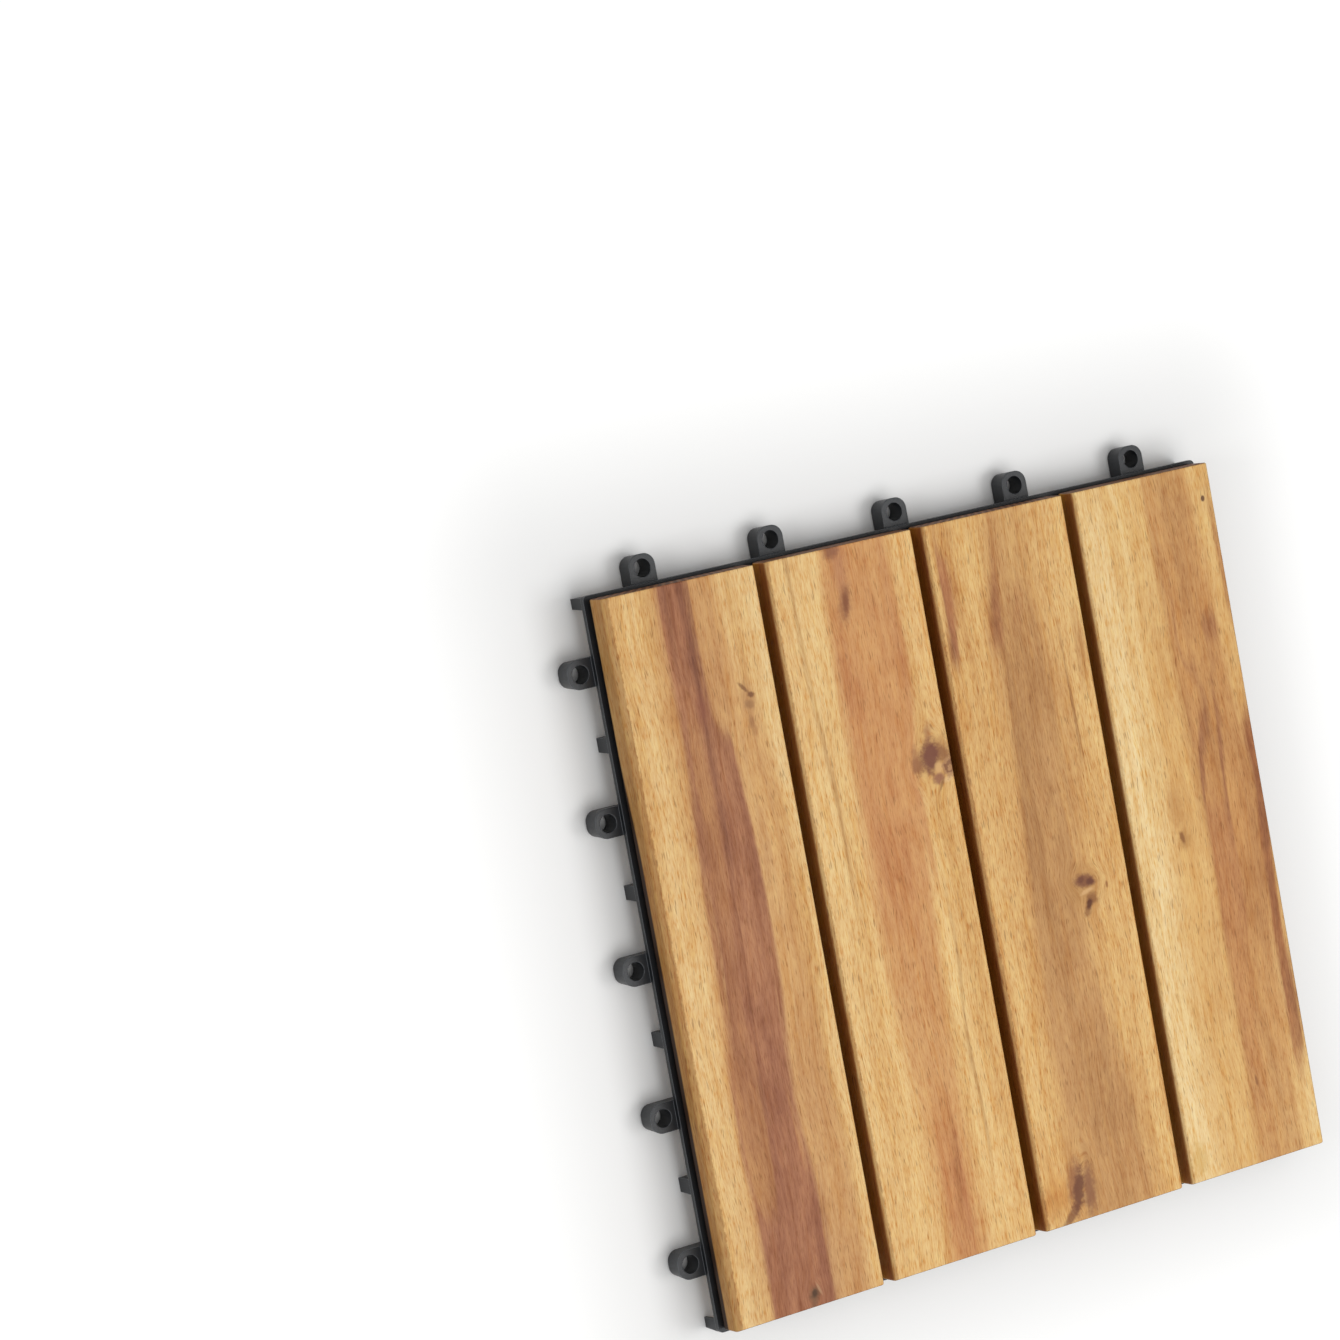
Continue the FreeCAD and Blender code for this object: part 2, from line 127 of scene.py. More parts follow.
def knot_layers(tree, local, rough, across, spots, eyes):
    """Knots, flecks and eyes as layers, and the place across the grain, which parts round each knot.

    Beside a knot the grain is moved outwards by push, in mm, and it closes again 3.6 half widths away.
    """
    layers = []
    for sx, sy, wide, long, lean, soft, push, tone, strength in spots:
        place, distance, uneven = knot_place(tree, local, rough, (sx, sy), (wide, long), lean)
        mask = add(
            tree,
            "ShaderNodeMapRange",
            {"Value": uneven, "From Min": 1 + soft, "From Max": 1 - soft, "To Max": strength},
            interpolation_type="SMOOTHSTEP",
        ).outputs[0]
        layers.append((mask, linear(tone), "MIX"))
        if push:
            closeness = add(
                tree,
                "ShaderNodeMapRange",
                {"Value": distance, "From Min": 3.6, "From Max": 0.6, "To Max": -push},
                interpolation_type="SMOOTHSTEP",
            ).outputs[0]
            side = add(tree, "ShaderNodeSeparateXYZ", {0: place}).outputs[0]
            side = add(
                tree, "ShaderNodeMapRange", {"Value": side, "From Min": -1.2, "From Max": 1.2, "To Min": -1.0}
            ).outputs[0]
            across = add(
                tree, "ShaderNodeMath", {0: side, 1: closeness, 2: across}, operation="MULTIPLY_ADD"
            ).outputs[0]

    # an eye is a knot cut across, with its own rings
    for sx, sy, wide, long, lean, rings, light, dark, strength in eyes:
        uneven = knot_place(tree, local, rough, (sx, sy), (wide, long), lean)[2]
        tone = ring_tone(tree, uneven, rings, [(0.2, dark), (0.8, light)])
        mask = add(
            tree,
            "ShaderNodeMapRange",
            {"Value": uneven, "From Min": 1.2, "From Max": 0.8, "To Max": strength},
            interpolation_type="SMOOTHSTEP",
        ).outputs[0]
        layers.append((mask, tone, "MIX"))
    return layers, across


def grain_places(tree, across, y, z, pith, seed):
    """The distance from the pith line, and three places for noise that are drawn out along the grain.

    They are drawn out 40 to 1 for streaks, 5 to 1 for clouds and 9 to 1 for fibres.
    """
    from_pith = add(
        tree,
        "ShaderNodeCombineXYZ",
        {
            0: add(tree, "ShaderNodeMath", {0: across, 1: -pith[0]}, operation="ADD").outputs[0],
            2: add(tree, "ShaderNodeMath", {0: z, 1: -pith[1]}, operation="ADD").outputs[0],
        },
    ).outputs[0]
    ring = add(tree, "ShaderNodeVectorMath", {0: from_pith}, operation="LENGTH").outputs["Value"]
    places = []
    for start, drawn_out, depth in ((ring, 1 / 40, seed), (ring, 1 / 5, seed), (across, 1 / 9, z)):
        along = add(tree, "ShaderNodeMath", {0: y, 1: drawn_out}, operation="MULTIPLY").outputs[0]
        places.append(add(tree, "ShaderNodeCombineXYZ", {0: start, 1: along, 2: depth}).outputs[0])
    return ring, *places


def band_mask(tree, edges, stations, soft_left, soft_right):
    """How far a point is inside a band, 0 to 1.

    stations are (along, left edge, right edge, strength), in mm but the strength. A ramp carries the edges
    and the strength along the slat. The mask is smooth((x - left) / soft) times smooth((right - x) / soft)
    times the strength. edges holds x + EDGE_REACH and EDGE_REACH - x, with x frayed, and the ramp's place
    along the slat.
    """
    ramp = add(tree, "ShaderNodeValToRGB", {"Fac": edges["along"]})
    span = 2 * EDGE_REACH
    stops(
        ramp,
        [
            (
                0.5 + along / (2 * STATION_REACH),
                ((left + EDGE_REACH) / span, (EDGE_REACH - right) / span, strength, 1),
            )
            for along, left, right, strength in stations
        ],
        "CARDINAL",
    )
    parts = add(tree, "ShaderNodeSeparateColor", {"Color": ramp.outputs[0]}).outputs
    inside = 1.0
    for part, start, soft in (
        (parts[0], edges["from left"], soft_left),
        (parts[1], edges["from right"], soft_right),
    ):
        past = add(tree, "ShaderNodeMath", {0: part, 1: -span, 2: start}, operation="MULTIPLY_ADD")
        inside = add(
            tree,
            "ShaderNodeMapRange",
            {"Value": past.outputs[0], "From Min": -soft / 2, "From Max": soft / 2, "To Max": inside},
            interpolation_type="SMOOTHSTEP",
        ).outputs[0]
    return add(tree, "ShaderNodeMath", {0: inside, 1: parts[2]}, operation="MULTIPLY").outputs[0]


def heartwood_layers(tree, x, y, streaks, clouds, pale_bands, bands):
    """Pale streaks and bands of heartwood as layers, and how far a point is in heartwood, 0 to 1.

    A band is cloudy inside, from its lighter to its darker tone, and its edges fray a little along the grain.
    """
    cloud = add(
        tree, "ShaderNodeTexNoise", {"Vector": clouds, "Scale": 0.09, "Detail": 3.0, "Roughness": 0.6}
    ).outputs[0]
    fray = add(
        tree, "ShaderNodeTexNoise", {"Vector": streaks, "Scale": 0.22, "Detail": 4.0, "Roughness": 0.6}
    ).outputs[0]
    blend = add(tree, "ShaderNodeMix", {0: 0.45, 2: cloud, 3: fray}).outputs[0]
    frayed = add(tree, "ShaderNodeMath", {0: fray, 1: FRAY, 2: x}, operation="MULTIPLY_ADD").outputs[0]
    left_start, right_start = EDGE_REACH - FRAY / 2, EDGE_REACH + FRAY / 2
    edges = {
        "from left": add(tree, "ShaderNodeMath", {0: frayed, 1: left_start}, operation="ADD").outputs[0],
        "from right": add(
            tree, "ShaderNodeMath", {0: right_start, 1: frayed}, operation="SUBTRACT"
        ).outputs[0],
        "along": add(
            tree,
            "ShaderNodeMapRange",
            {"Value": y, "From Min": -STATION_REACH, "From Max": STATION_REACH},
        ).outputs[0],
    }
    layers = []
    heart = 0.0
    for stations, soft_left, soft_right, light, dark in pale_bands + bands:
        tint = add(tree, "ShaderNodeValToRGB", {"Fac": blend})
        stops(tint, [(0.40, linear(dark)), (0.58, linear(light))])
        mask = band_mask(tree, edges, stations, soft_left, soft_right)
        layers.append((mask, tint.outputs[0], "MIX"))
        if len(layers) > len(pale_bands):
            heart = add(tree, "ShaderNodeMath", {0: mask, 1: heart}, operation="MAXIMUM").outputs[0]
    return layers, heart


def grain_layers(tree, streaks, clouds, fibres, heart):
    """Mottle, grain lines, hairs and pores as layers, and how strong the last three are at a point.

    #BCBCBC is 0.5 in linear light, so as a soft light it leaves a colour as it is.
    """
    # a soft mottle of the cut, paler and darker patches about 3 mm wide and 17 mm long
    mottle = add(
        tree, "ShaderNodeTexNoise", {"Vector": clouds, "Scale": 0.3, "Detail": 3.0, "Roughness": 0.6}
    ).outputs[0]
    mottle_shade = add(tree, "ShaderNodeValToRGB", {"Fac": mottle})
    stops(mottle_shade, [(0.3, linear("#A39D90")), (0.5, linear("#BCBCBC")), (0.7, linear("#CFCDC6"))])

    # grain lines 1 to 2 mm apart
    lines = add(
        tree, "ShaderNodeTexNoise", {"Vector": streaks, "Scale": 0.75, "Detail": 3.0, "Roughness": 0.65}
    ).outputs[0]
    line_shade = add(tree, "ShaderNodeValToRGB", {"Fac": lines})
    stops(line_shade, [(0.30, linear("#8E7F68")), (0.5, linear("#BCBCBC")), (0.7, linear("#CDCAC2"))])
    line_amount = add(tree, "ShaderNodeMapRange", {"Value": heart, "To Min": 0.6, "To Max": 0.4}).outputs[0]

    # hairs of grain 0.5 mm wide, plainest where the wood is pale
    hairs = add(
        tree, "ShaderNodeTexNoise", {"Vector": fibres, "Scale": 1.9, "Detail": 2.0, "Roughness": 0.6}
    ).outputs[0]
    hair_shade = add(tree, "ShaderNodeValToRGB", {"Fac": hairs})
    stops(hair_shade, [(0.28, linear("#745F40")), (0.48, linear("#BCBCBC")), (0.72, linear("#DAD6CA"))])
    hair_amount = add(tree, "ShaderNodeMapRange", {"Value": heart, "To Min": 1.0, "To Max": 0.5}).outputs[0]

    # pores: dark dashes 0.5 mm wide and 4 to 8 mm long
    pores = add(
        tree, "ShaderNodeTexNoise", {"Vector": fibres, "Scale": 1.35, "Detail": 1.0, "Roughness": 0.55}
    ).outputs[0]
    pores = add(
        tree,
        "ShaderNodeMapRange",
        {"Value": pores, "From Min": 0.60, "From Max": 0.74, "To Max": 0.5},
        interpolation_type="SMOOTHSTEP",
    ).outputs[0]

    layers = [
        (0.8, mottle_shade.outputs[0], "SOFT_LIGHT"),
        (line_amount, line_shade.outputs[0], "SOFT_LIGHT"),
        (hair_amount, hair_shade.outputs[0], "SOFT_LIGHT"),
        (pores, linear("#7E4C1E"), "MIX"),
    ]
    return layers, lines, hairs, pores


def side_layers(tree, sideways, y, z, facing_x):
    """The long sides as layers: painted shade that makes the sides browner and darker than the top face, more
    of it in a gap, with painted light deeper in a gap and painted shade low on the outer side.

    sideways is the place across the tile in metres. facing_x is how squarely a face looks along X.
    """
    # how much a face is a side: every side gets painted shade, a browner and darker colour than the top face
    on_side = add(
        tree,
        "ShaderNodeMapRange",
        {"Value": facing_x, "From Min": 0.45, "From Max": 0.95},
        interpolation_type="SMOOTHSTEP",
    ).outputs[0]

    # in a gap, painted shade makes the side browner still near the face, and painted light makes it paler and
    # yellower lower down, deep in the gap
    outward = add(tree, "ShaderNodeMath", {0: sideways}, operation="ABSOLUTE").outputs[0]
    in_gap = add(
        tree,
        "ShaderNodeMapRange",
        {
            "Value": outward,
            "From Min": INSIDE_OUTER_SIDE + SIDE_FADE,
            "From Max": INSIDE_OUTER_SIDE,
            "To Max": on_side,
        },
    ).outputs[0]
    height = add(tree, "ShaderNodeMapRange", {"Value": z, "From Min": -8.0}).outputs[0]
    gap_painted_light_and_shade = add(tree, "ShaderNodeValToRGB", {"Fac": height})
    tones = ((0.0, "#FFE878"), (0.5, "#E2B980"), (0.85, "#B8957A"), (1.0, "#AC8A78"))
    stops(gap_painted_light_and_shade, [(place, linear(code)) for place, code in tones])

    # painted shade low on the outer side with the loops, just above the rim: a dark band that drops towards
    # +Y
    loop_side = add(
        tree,
        "ShaderNodeMapRange",
        {
            "Value": sideways,
            "From Min": -INSIDE_OUTER_SIDE,
            "From Max": -INSIDE_OUTER_SIDE - SIDE_FADE,
            "To Max": on_side,
        },
    ).outputs[0]
    drop = add(
        tree,
        "ShaderNodeMapRange",
        {"Value": y, "From Min": 40.0, "From Max": 90.0, "To Max": 2.6},
        interpolation_type="SMOOTHSTEP",
    ).outputs[0]
    dropped = add(tree, "ShaderNodeMath", {0: drop, 1: z}, operation="ADD").outputs[0]
    painted_shade_low = add(
        tree,
        "ShaderNodeMapRange",
        {"Value": dropped, "From Min": -5.6, "From Max": -6.8, "To Max": loop_side},
        interpolation_type="SMOOTHSTEP",
    ).outputs[0]

    return [
        (on_side, linear("#C6B6A0"), "MULTIPLY"),
        (in_gap, gap_painted_light_and_shade.outputs[0], "MULTIPLY"),
        (painted_shade_low, linear("#4A4038"), "MULTIPLY"),
    ]


def torn_and_shaded_edge_layers(tree, x, rough, facing_x, half_width, torn_and_shaded_edges):
    """Brown strips as layers, on the upward face along the edges: partly grain that the plane tore, partly
    painted shade that darkens the edges on the -X side.
    """
    layers = []
    for side, reach, strength in torn_and_shaded_edges:
        inward = add(
            tree, "ShaderNodeMath", {0: x, 1: -side, 2: half_width}, operation="MULTIPLY_ADD"
        ).outputs[0]
        uneven = add(
            tree, "ShaderNodeMath", {0: rough, 1: 2.0, 2: inward}, operation="MULTIPLY_ADD"
        ).outputs[0]
        upward = add(
            tree,
            "ShaderNodeMapRange",
            {"Value": facing_x, "From Min": 0.95, "From Max": 0.45, "To Max": strength},
            interpolation_type="SMOOTHSTEP",
        ).outputs[0]
        torn_and_shaded = add(
            tree,
            "ShaderNodeMapRange",
            {"Value": uneven, "From Min": reach + 0.5, "From Max": reach - 0.5, "To Max": upward},
            interpolation_type="SMOOTHSTEP",
        ).outputs[0]
        layers.append((torn_and_shaded, linear("#D1C6B9"), "MULTIPLY"))
    return layers


def end_grain_layer(tree, ring, facing_y):
    """The slat's ends as a layer: they drink the most oil, and show the growth rings."""
    on_end = add(
        tree,
        "ShaderNodeMapRange",
        {"Value": facing_y, "From Min": 0.5, "From Max": 0.95},
        interpolation_type="SMOOTHSTEP",
    ).outputs[0]
    return on_end, ring_tone(tree, ring, 1 / END_RING, [(0.2, "#58351F"), (1.0, "#835634")]), "MIX"


def acacia(number, slat):
    """Acacia, planed, sanded and oiled: golden sapwood, brown heartwood, short open pores, a satin sheen.

    The figure is that of a sawn log: growth rings round a pith line give long streaks on the faces and arcs
    on the ends. The grain wanders a little, and parts round each knot. Layers are laid over the sapwood in
    turn, each as (how much, colour, how it is blended).
    """
    low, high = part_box(f"slat_{number}")
    half_width = MM * (high[0] - low[0]) / 2
    material, tree, shader = new_material(f"acacia_sanded_oiled_{number}")
    coords = add(tree, "ShaderNodeTexCoord").outputs["Object"]
    local = add(
        tree,
        "ShaderNodeMapping",
        {
            "Vector": coords,
            "Location": (-MM * (low[0] + high[0]) / 2, 0, -MM * high[2]),
            "Scale": (MM, MM, MM),
        },
    ).outputs[0]
    x, y, z = add(tree, "ShaderNodeSeparateXYZ", {0: local}).outputs
    # each slat takes its noise from another place
    seed = 61.7 * number
    board = add(tree, "ShaderNodeVectorMath", {0: local, 1: (seed, 2 * seed, 0)}, operation="ADD").outputs[0]

    # the grain wanders by a few millimetres over 90 mm
    wander = add(tree, "ShaderNodeTexNoise", {"Vector": board, "Scale": 0.011, "Detail": 1.0}).outputs[0]
    across = add(tree, "ShaderNodeMath", {0: wander, 1: WANDER, 2: x}, operation="MULTIPLY_ADD").outputs[0]

    # what makes an edge ragged: from -0.6 to 0.6, over 2 to 3 mm
    ragged = add(
        tree, "ShaderNodeTexNoise", {"Vector": board, "Scale": 0.4, "Detail": 3.0, "Roughness": 0.6}
    ).outputs[0]
    rough = add(tree, "ShaderNodeMath", {0: ragged, 1: 1.2, 2: -0.6}, operation="MULTIPLY_ADD").outputs[0]

    knots, across = knot_layers(tree, local, rough, across, slat["spots"], slat["eyes"])
    ring, streaks, clouds, fibres = grain_places(tree, across, y, z, slat["pith"], seed)

    # sapwood: growth streaks about 8 mm wide that run the length of the slat
    growth = add(
        tree, "ShaderNodeTexNoise", {"Vector": streaks, "Scale": 0.12, "Detail": 3.0, "Roughness": 0.55}
    ).outputs[0]
    sapwood = add(tree, "ShaderNodeValToRGB", {"Fac": growth})
    stops(sapwood, [(place, linear(tone)) for place, tone in zip((0.32, 0.5, 0.68), slat["sapwood"])])

    heartwood, heart = heartwood_layers(tree, x, y, streaks, clouds, slat["pale"], slat["bands"])
    grain, lines, hairs, pores = grain_layers(tree, streaks, clouds, fibres, heart)

    facing = add(
        tree,
        "ShaderNodeVectorMath",
        {0: add(tree, "ShaderNodeNewGeometry").outputs["Normal"]},
        operation="ABSOLUTE",
    ).outputs[0]
    facing_x, facing_y, _ = add(tree, "ShaderNodeSeparateXYZ", {0: facing}).outputs
    sideways = add(tree, "ShaderNodeSeparateXYZ", {0: coords}).outputs[0]
    # painted shade on the sides and in the gaps, painted light deep in the gaps
    sides = side_layers(tree, sideways, y, z, facing_x)
    # brown strips along the edges: partly torn grain, partly painted shade
    torn_and_shaded = torn_and_shaded_edge_layers(tree, x, rough, facing_x, half_width, slat["torn and shaded edges"])
    end = end_grain_layer(tree, ring, facing_y)

    colour = sapwood.outputs[0]
    for amount, over, blend_type in (*heartwood, *grain, *knots, *sides, *torn_and_shaded, end):
        colour = add(
            tree,
            "ShaderNodeMix",
            {0: amount, 6: colour, 7: over},
            data_type="RGBA",
            blend_type=blend_type,
        ).outputs[2]
    tree.links.new(colour, shader.inputs["Base Color"])

    # satin, and duller in the dark grain lines
    sheen = add(
        tree,
        "ShaderNodeMapRange",
        {"Value": lines, "From Min": 0.3, "From Max": 0.7, "To Min": 0.68, "To Max": 0.56},
    )
    tree.links.new(sheen.outputs[0], shader.inputs["Roughness"])
    shader.inputs["IOR"].default_value = 1.45
    shader.inputs["Specular IOR Level"].default_value = 0.35
    # the hairs stand up and the pores sink in, by less than 0.15 mm
    relief = add(tree, "ShaderNodeMath", {0: pores, 1: -1.2, 2: hairs}, operation="MULTIPLY_ADD")
    bump = add(
        tree,
        "ShaderNodeBump",
        {"Height": relief.outputs[0], "Strength": 0.4, "Distance": 0.00015},
    )
    tree.links.new(bump.outputs[0], shader.inputs["Normal"])
    return material


# For each slat, from -X. Pith: the place of the pith line across the slat and in height, in mm.
# Sapwood: the growth streaks' three tones, from dark to pale.
# Pale streaks and bands of heartwood: (along, left edge, right edge, strength) stations, how soft the two
# edges are, then the lighter and the darker tone.
# Spots, which are knots and flecks: (across, along, half width, half length, lean in degrees, softness, push
# on the grain, tone, strength). Eyes: the same place, then the number of rings, two tones and the strength.
# Torn and shaded edges, partly grain torn by the plane and partly painted shade along the edges: (side,
# reach, strength).
SLATS = [
    {
        "pith": (-64, -38),
        "sapwood": ("#D0A264", "#DFB67C", "#E6C38C"),
        "pale": [
            (
                [
                    (-148, -27, -18, 0.7),
                    (-70, -27, -18, 0.55),
                    (-35, -25, -18, 0.0),
                ],
                7,
                6,
                "#D8AC72",
                "#CC9E66",
            ),
        ],
        "bands": [
            (
                [
                    (-148, -19, 28, 0.8),
                    (-60, -19, 27, 0.8),
                    (20, -17, 27, 0.75),
                    (85, -17, 27, 0.75),
                    (100, -17, 22, 0.85),
                    (148, -14, 16, 0.85),
                ],
                8,
                11,
                "#D09D64",
                "#BF8A58",
            ),
            (
                [
                    (-148, -17.5, 10.5, 1.0),
                    (-106, -17, 11.5, 1.0),
                    (-75, -18, 9.5, 1.0),
                    (-40, -15.5, 11, 1.0),
                    (0, -14, 13.2, 0.95),
                    (50, -13.4, 12.2, 0.95),
                    (80, -12.2, 10.5, 0.9),
                    (94, -12, 4, 0.9),
                    (148, -11.8, 3, 1.0),
                ],
                4,
                6,
                "#AC7453",
                "#965F44",
            ),
            (
                [
                    (-114, -13, -9, 0.0),
                    (-100, -15.5, -6.5, 0.85),
                    (-80, -16.5, -4.5, 0.75),
                    (-50, -15.5, -4.5, 0.5),
                    (-20, -14, -6, 0.3),
                    (20, -12.5, -2.5, 0.35),
                    (60, -11, -1.5, 0.6),
                    (88, -8, -2, 0.4),
                    (105, -6, -2, 0.0),
                ],
                3.5,
                3,
                "#BC8856",
                "#A97349",
            ),
            (
                [
                    (-80, -3.6, -2.6, 0.0),
                    (-60, -4.6, -2.8, 0.5),
                    (-40, -3.4, -1.6, 0.4),
                    (0, -2.0, 0.0, 0.4),
                    (40, -0.8, 1.0, 0.55),
                    (90, -0.8, 1.0, 0.75),
                    (112, -1.6, 1.6, 0.75),
                    (148, -2.4, 3.2, 0.75),
                ],
                2.2,
                2.2,
                "#8A563C",
                "#784833",
            ),
            (
                [
                    (104, -8, -6.5, 0.0),
                    (118, -9.2, -5.8, 0.5),
                    (148, -9.8, -5.4, 0.6),
                ],
                3,
                3,
                "#925E42",
                "#80503A",
            ),
        ],
        "spots": [
            (21.5, 97, 3.2, 5.5, 0, 0.6, 0, "#B58658", 0.5),
            (20.3, 101.5, 0.8, 2.8, 42, 0.5, 0, "#80522E", 0.8),
            (23.3, 98.2, 1.5, 1.1, 0, 0.5, 0, "#774A2C", 0.85),
            (21.8, 94.6, 2.0, 1.8, 0, 0.5, 1.2, "#9A6E46", 0.7),
            (21.4, 87.5, 1.3, 2.4, 0, 0.6, 0, "#94643E", 0.6),
            (22.2, 84.0, 1.3, 2.4, -8, 0.5, 0, "#A87446", 0.55),
            (0, 97, 2.4, 6.0, 0, 0.8, 0, "#8C4E3A", 0.45),
            (2.6, -143.4, 2.4, 3.2, -10, 0.5, 2.4, "#715238", 0.75),
            (2.5, -143.0, 1.3, 1.6, 0, 0.5, 0, "#4E3624", 0.85),
            (5.0, -141.5, 0.5, 3.0, 20, 0.5, 0, "#BE9470", 0.6),
            (1.6, -147.5, 1.4, 1.6, 0, 0.6, 0, "#74543C", 0.6),
        ],
        "eyes": [],
        "torn and shaded edges": [(-1, 3.3, 1.0)],
    },
    {
        "pith": (70, -42),
        "sapwood": ("#D2A365", "#DEB376", "#E9C488"),
        "pale": [
            (
                [
                    (-148, -38, -24, 0.4),
                    (-60, -38, -24, 0.5),
                    (30, -38, -20, 0.7),
                    (80, -38, -18, 0.85),
                    (148, -38, -16, 0.85),
                ],
                4,
                8,
                "#EBC88E",
                "#E2BA80",
            ),
            (
                [
                    (58, 24, 38, 0.0),
                    (84, 24, 38, 0.6),
                    (148, 22, 38, 0.6),
                ],
                6,
                4,
                "#E6BC80",
                "#DCAF74",
            ),
        ],
        "bands": [
            (
                [
                    (-148, -9, 12, 0.65),
                    (-90, -10, 11, 0.6),
                    (-40, -12, 12, 0.65),
                    (0, -13, 15.5, 0.85),
                    (28, -12.5, 18, 0.95),
                    (56, -11.5, 18.5, 1.0),
                    (76, -11.5, 21, 1.0),
                    (110, -11.5, 23.5, 0.95),
                    (148, -10, 23, 0.85),
                ],
                8,
                6,
                "#D09861",
                "#C48857",
            ),
            (
                [
                    (-148, -4, 6, 0.6),
                    (-125, -5, 7, 0.85),
                    (-95, -4, 7, 0.6),
                    (-60, -3, 7, 0.15),
                    (10, -6, 7, 0.5),
                    (24, -6, 8, 0.7),
                    (44, -4, 6, 0.1),
                    (120, 4, 12, 0.1),
                    (148, -5, 5, 0.6),
                ],
                6,
                6,
                "#C48654",
                "#B7784C",
            ),
            (
                [
                    (-142, -0.8, 1.2, 0.0),
                    (-125, 0.4, 2.0, 0.7),
                    (-104, 2.4, 4.2, 0.6),
                    (-80, 3.4, 4.6, 0.4),
                    (-60, 4.8, 6.0, 0.0),
                ],
                2.2,
                2.2,
                "#B4763F",
                "#A1673A",
            ),
            (
                [
                    (-8, -20.6, -20, 0.0),
                    (12, -22, -20.6, 0.6),
                    (56, -23, -21.4, 0.6),
                    (100, -25.5, -24, 0.45),
                    (148, -26.8, -25.4, 0.55),
                ],
                1.8,
                1.8,
                "#B98A52",
                "#A57642",
            ),
            (
                [
                    (-125, 17.6, 18.6, 0.0),
                    (-100, 18.4, 19.8, 0.55),
                    (-60, 17.4, 18.8, 0.6),
                    (-30, 19.8, 21.0, 0.55),
                    (0, 20.4, 21.4, 0.3),
                    (20, 20.4, 21.4, 0.0),
                ],
                1.8,
                1.8,
                "#B98A52",
                "#A57642",
            ),
        ],
        "spots": [
            (-1.6, 138.0, 3.2, 11, 0, 0.7, 0, "#B47A58", 0.5),
            (-1.8, 125.0, 3.0, 7.4, -12, 0.6, 1.0, "#A06A45", 0.75),
            (-1.2, 125.5, 1.4, 5.0, -12, 0.6, 0, "#824C2E", 0.85),
            (-4.2, 147.2, 3.6, 3.4, 0, 0.6, 0, "#85523C", 0.75),
            (27.5, 55.5, 8.4, 8.6, 0, 0.5, 0, "#AC7A48", 0.5),
            (30.8, 56.6, 4.0, 3.2, -30, 0.6, 0, "#8E5C38", 0.8),
            (18.4, 53.4, 2.7, 3.6, 0, 0.5, 1.5, "#8C5636", 0.8),
            (18.0, 57.0, 1.6, 4.4, -6, 0.6, 0, "#A4704A", 0.6),
            (25.6, 65.0, 1.6, 5.0, -8, 0.7, 0, "#A26C46", 0.6),
            (25.2, 56.0, 3.9, 6.4, -12, 0.45, 5.0, "#774534", 0.95),
            (28.4, 50.6, 1.9, 2.5, -10, 0.45, 0, "#D8AA70", 0.9),
            (27.6, 46.4, 2.8, 2.1, 10, 0.5, 0, "#935E46", 0.85),
            (28.4, 43.6, 0.6, 2.8, -32, 0.5, 0, "#8E6236", 0.7),
            (32.0, 45.6, 2.0, 1.2, 20, 0.5, 0, "#E4BC86", 0.7),
        ],
        "eyes": [(33.4, 50.2, 3.2, 4.4, -10, 1.5, "#AE8058", "#80523A", 0.85)],
        "torn and shaded edges": [(-1, 2.0, 1.0)],
    },
    {
        "pith": (-70, -46),
        "sapwood": ("#C8955A", "#D8AB6E", "#E4BC7E"),
        "pale": [
            (
                [
                    (40, 15, 29, 0.0),
                    (66, 16, 29, 0.75),
                    (148, 15, 28, 0.75),
                ],
                5,
                7,
                "#E4BC80",
                "#DAAE72",
            ),
        ],
        "bands": [
            (
                [
                    (-148, -20, 24, 0.7),
                    (-98, -18, 21, 0.7),
                    (-55, -17, 16, 0.6),
                    (0, -16, 17, 0.7),
                    (60, -13, 20, 0.6),
                    (100, -14, 16, 0.7),
                    (148, -8, 13, 0.5),
                ],
                7,
                9,
                "#CFA067",
                "#C49159",
            ),
            (
                [
                    (-148, -9, 20, 0.8),
                    (-125, -11.5, 18.5, 0.95),
                    (-100, -13.5, 16.5, 0.95),
                    (-70, -15, 14, 0.95),
                    (-45, -14.5, 10.5, 0.95),
                    (-12, -14, 11, 0.9),
                    (20, -12.4, 12, 0.9),
                    (60, -10.8, 12.5, 0.85),
                    (85, -9.6, 13, 0.8),
                    (110, -8, 10, 0.6),
                    (135, -4, 8, 0.3),
                    (148, -3, 7, 0.2),
                ],
                4,
                5,
                "#C1905C",
                "#AD7D4D",
            ),
            (
                [
                    (-148, -34, -22, 0.0),
                    (-138, -34, -21, 0.85),
                    (-126, -32, -23, 0.6),
                    (-100, -34, -30, 0.0),
                ],
                5,
                6,
                "#CF9450",
                "#C28744",
            ),
            (
                [
                    (60, -33, -31, 0.0),
                    (86, -34, -29, 0.1),
                    (94, -34, -27.5, 0.8),
                    (112, -33.0, -24.5, 0.9),
                    (132, -32.5, -24.5, 0.85),
                    (140, -32, -27, 0.3),
                    (148, -31, -28, 0.1),
                ],
                3.5,
                4,
                "#B0744C",
                "#965E40",
            ),
            (
                [
                    (86, -13, -9, 0.0),
                    (96, -12.5, -6.0, 0.75),
                    (112, -10.5, -4.0, 0.85),
                    (128, -7, -1, 0.5),
                    (145, -4, 0, 0.2),
                ],
                3.5,
                4,
                "#AE7448",
                "#98603A",
            ),
            (
                [
                    (94, 0, 3, 0.0),
                    (104, 0.5, 5, 0.55),
                    (114, 3, 7.5, 0.45),
                    (124, 5, 8, 0.0),
                ],
                3,
                4,
                "#B27A4C",
                "#A06A40",
            ),
            (
                [
                    (62, 29, 32, 0.0),
                    (78, 28, 34, 0.5),
                    (92, 29, 35, 0.5),
                    (108, 30, 34, 0.0),
                ],
                4,
                4,
                "#BC8650",
                "#A8723E",
            ),
            (
                [
                    (28, 20.0, 21.0, 0.0),
                    (44, 20.6, 22.0, 0.5),
